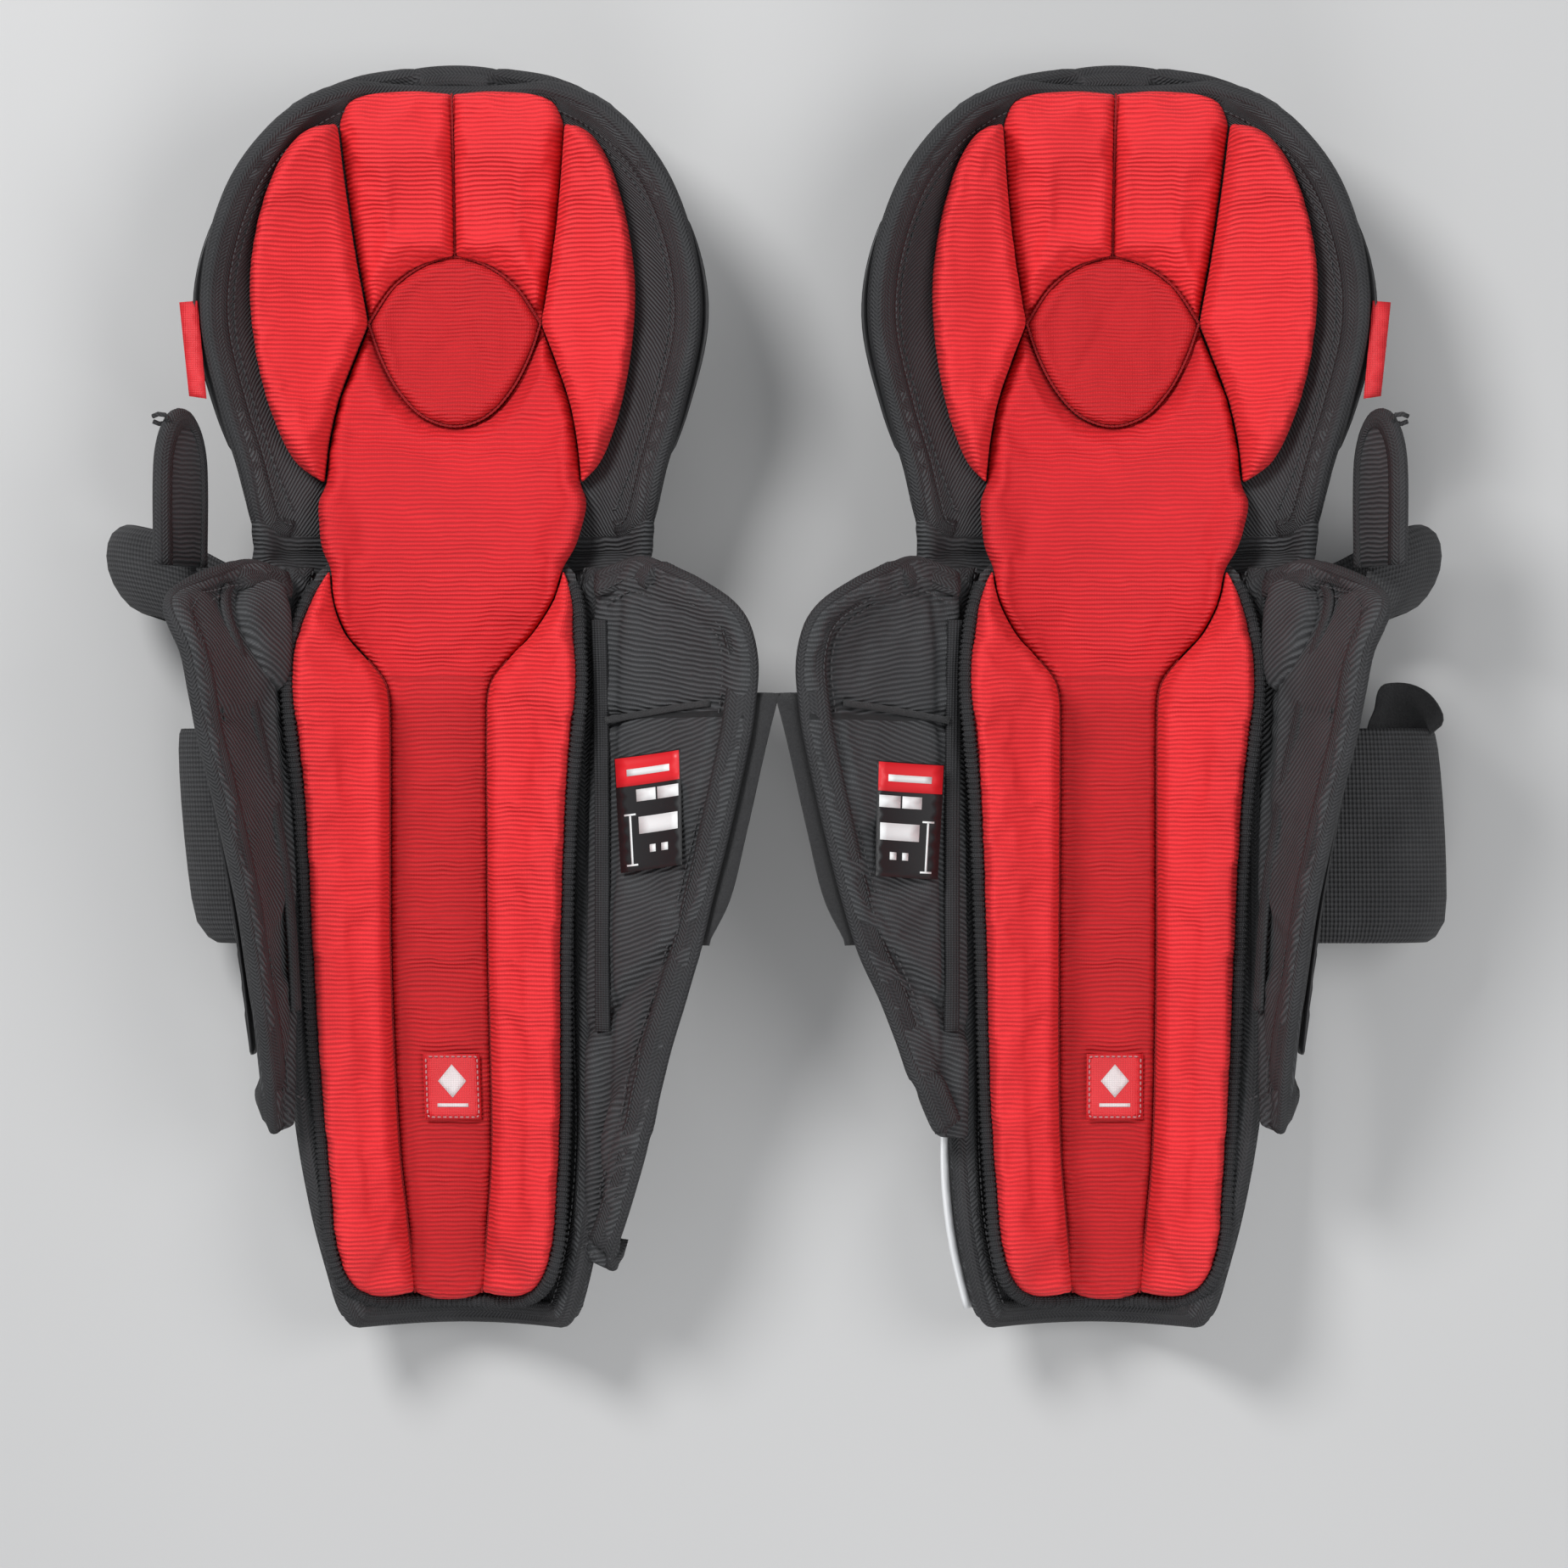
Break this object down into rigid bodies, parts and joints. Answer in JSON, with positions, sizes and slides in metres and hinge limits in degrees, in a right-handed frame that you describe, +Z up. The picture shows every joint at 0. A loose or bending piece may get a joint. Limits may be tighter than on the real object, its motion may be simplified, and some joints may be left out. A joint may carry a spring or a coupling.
{
  "type": "ice hockey shin guards",
  "caption": "Pair of padded shin guards with domed knee caps, rigid shin shells, foldable calf wings, lift-out contoured liners and elastic calf straps.",
  "frame": {"origin": "middle of the pair's footprint, on the surface that the two guards lie on with their plastic fronts down", "axes": "+Y runs up the leg to the thigh ends, +X from the left guard to the right guard, +Z up out of the fronts towards the leg"},
  "size_m": [0.5204, 0.486, 0.1268],
  "materials": {
    "plastic_pale": "smooth moulded polymer with light scuffs",
    "plastic_black": "fine-grained moulded polymer",
    "rivet": "domed rivet heads",
    "knit_black": "ribbed brushed knit over foam, charcoal black",
    "knit_red": "ribbed wicking knit over foam, bright red with a slight sheen",
    "woven_red": "dense woven tag",
    "binding": "twill binding tape with a line of stitches",
    "webbing": "coarse woven elastic webbing",
    "hook_tape": "hook side of hook-and-loop tape",
    "loop_tape": "loop side of hook-and-loop tape",
    "label_print": null
  },
  "bodies": {
    "left_shell": {"left_shin_cap": "plastic_pale", "left_shin_ridge": "plastic_black", "left_shin_rivets": "rivet", "left_shin_carrier": "knit_black", "left_landing_pads": "loop_tape"},
    "left_knee": {"left_knee_cap": "plastic_pale", "left_knee_side_guards": "plastic_black", "left_knee_rivets": "rivet", "left_knee_carrier": "knit_black", "left_side_tab": "woven_red"},
    "left_thigh": {"left_thigh_pad": "knit_black", "left_thigh_plate": "plastic_pale"},
    "left_shin_liner": {"left_shin_liner_base": "knit_black", "left_centre_panel": "knit_red", "left_outer_bolster": "knit_red", "left_inner_bolster": "knit_red", "left_liner_patch": "woven_red"},
    "left_knee_liner": {"left_knee_tongue": "knit_red", "left_knee_cup_pad": "knit_red", "left_knee_side_pads": "knit_red", "left_knee_top_pads": "knit_red"},
    "left_inner_wing": {"left_inner_wing": "knit_black", "left_size_label": "label_print", "left_hook_strip": "hook_tape"},
    "left_outer_wing": {"left_outer_wing": "knit_black", "left_calf_plate": "plastic_black"},
    "left_upper_strap": {"left_upper_strap": "webbing", "left_upper_strap_tab": "binding"},
    "left_lower_strap": {"left_lower_strap": "webbing", "left_lower_strap_tab": "hook_tape"},
    "right_shell": {"right_shin_cap": "plastic_pale", "right_shin_ridge": "plastic_black", "right_shin_rivets": "rivet", "right_shin_carrier": "knit_black", "right_landing_pads": "loop_tape"},
    "right_knee": {"right_knee_cap": "plastic_pale", "right_knee_side_guards": "plastic_black", "right_knee_rivets": "rivet", "right_knee_carrier": "knit_black", "right_side_tab": "woven_red"},
    "right_thigh": {"right_thigh_pad": "knit_black", "right_thigh_plate": "plastic_pale"},
    "right_shin_liner": {"right_shin_liner_base": "knit_black", "right_centre_panel": "knit_red", "right_outer_bolster": "knit_red", "right_inner_bolster": "knit_red", "right_liner_patch": "woven_red"},
    "right_knee_liner": {"right_knee_tongue": "knit_red", "right_knee_cup_pad": "knit_red", "right_knee_side_pads": "knit_red", "right_knee_top_pads": "knit_red"},
    "right_inner_wing": {"right_inner_wing": "knit_black", "right_size_label": "label_print", "right_hook_strip": "hook_tape"},
    "right_outer_wing": {"right_outer_wing": "knit_black", "right_calf_plate": "plastic_black"},
    "right_upper_strap": {"right_upper_strap": "webbing", "right_upper_strap_tab": "binding"},
    "right_lower_strap": {"right_lower_strap": "webbing", "right_lower_strap_tab": "hook_tape"}
  },
  "joints": [
    {"name": "left_knee_flex", "type": "hinge", "parent": "left_shell", "child": "left_knee", "pos_m": [-0.128, 0.055, 0.04], "axis": [1, 0, 0], "range_deg": [0, 15], "stiffness_Nm_per_rad": 2.5},
    {"name": "left_thigh_flex", "type": "hinge", "parent": "left_knee", "child": "left_thigh", "pos_m": [-0.128, 0.193, 0.015], "axis": [1, 0, 0], "range_deg": [-15, 0], "stiffness_Nm_per_rad": 0.6},
    {"name": "left_liner_lift", "type": "slide", "parent": "left_shell", "child": "left_shin_liner", "axis": [0, 0, 1], "range_m": [0, 0.12]},
    {"name": "left_liner_flex", "type": "hinge", "parent": "left_shin_liner", "child": "left_knee_liner", "pos_m": [-0.128, 0.055, 0.04], "axis": [1, 0, 0], "range_deg": [0, 15]},
    {"name": "left_inner_wing_fold", "type": "hinge", "parent": "left_shell", "child": "left_inner_wing", "pos_m": [-0.068, -0.059, 0.0555], "axis": [0.018, 0.9995, 0.027], "range_deg": [-65, 0], "stiffness_Nm_per_rad": 0.25},
    {"name": "left_outer_wing_fold", "type": "hinge", "parent": "left_shell", "child": "left_outer_wing", "pos_m": [-0.188, -0.059, 0.0555], "axis": [0.018, -0.9995, -0.027], "range_deg": [-40, 0], "stiffness_Nm_per_rad": 0.25},
    {"name": "left_upper_strap_swing", "type": "hinge", "parent": "left_shell", "child": "left_upper_strap", "pos_m": [-0.196, 0.03, 0.044], "axis": [0, 1, 0], "range_deg": [-20, 0], "stiffness_Nm_per_rad": 0.1},
    {"name": "left_lower_strap_swing", "type": "hinge", "parent": "left_shell", "child": "left_lower_strap", "pos_m": [-0.192, -0.053, 0.046], "axis": [0, 1, 0], "range_deg": [0, 25], "stiffness_Nm_per_rad": 0.1},
    {"name": "pair_spread", "type": "slide", "parent": "left_shell", "child": "right_shell", "axis": [1, 0, 0], "range_m": [0, 0.15]},
    {"name": "right_knee_flex", "type": "hinge", "parent": "right_shell", "child": "right_knee", "pos_m": [0.128, 0.055, 0.04], "axis": [1, 0, 0], "range_deg": [0, 15], "stiffness_Nm_per_rad": 2.5},
    {"name": "right_thigh_flex", "type": "hinge", "parent": "right_knee", "child": "right_thigh", "pos_m": [0.128, 0.193, 0.015], "axis": [1, 0, 0], "range_deg": [-15, 0], "stiffness_Nm_per_rad": 0.6},
    {"name": "right_liner_lift", "type": "slide", "parent": "right_shell", "child": "right_shin_liner", "axis": [0, 0, 1], "range_m": [0, 0.12]},
    {"name": "right_liner_flex", "type": "hinge", "parent": "right_shin_liner", "child": "right_knee_liner", "pos_m": [0.128, 0.055, 0.04], "axis": [1, 0, 0], "range_deg": [0, 15]},
    {"name": "right_inner_wing_fold", "type": "hinge", "parent": "right_shell", "child": "right_inner_wing", "pos_m": [0.068, -0.059, 0.0555], "axis": [0.018, -0.9995, -0.027], "range_deg": [-65, 0], "stiffness_Nm_per_rad": 0.25},
    {"name": "right_outer_wing_fold", "type": "hinge", "parent": "right_shell", "child": "right_outer_wing", "pos_m": [0.188, -0.059, 0.0555], "axis": [0.018, 0.9995, 0.027], "range_deg": [-40, 0], "stiffness_Nm_per_rad": 0.25},
    {"name": "right_upper_strap_swing", "type": "hinge", "parent": "right_shell", "child": "right_upper_strap", "pos_m": [0.196, 0.03, 0.044], "axis": [0, -1, 0], "range_deg": [-20, 0], "stiffness_Nm_per_rad": 0.1},
    {"name": "right_lower_strap_swing", "type": "hinge", "parent": "right_shell", "child": "right_lower_strap", "pos_m": [0.192, -0.053, 0.046], "axis": [0, -1, 0], "range_deg": [0, 25], "stiffness_Nm_per_rad": 0.1}
  ],
  "couplings": [
    {"joint": "left_liner_flex", "follows": "left_knee_flex", "ratio": 1},
    {"joint": "right_liner_flex", "follows": "right_knee_flex", "ratio": 1}
  ]
}
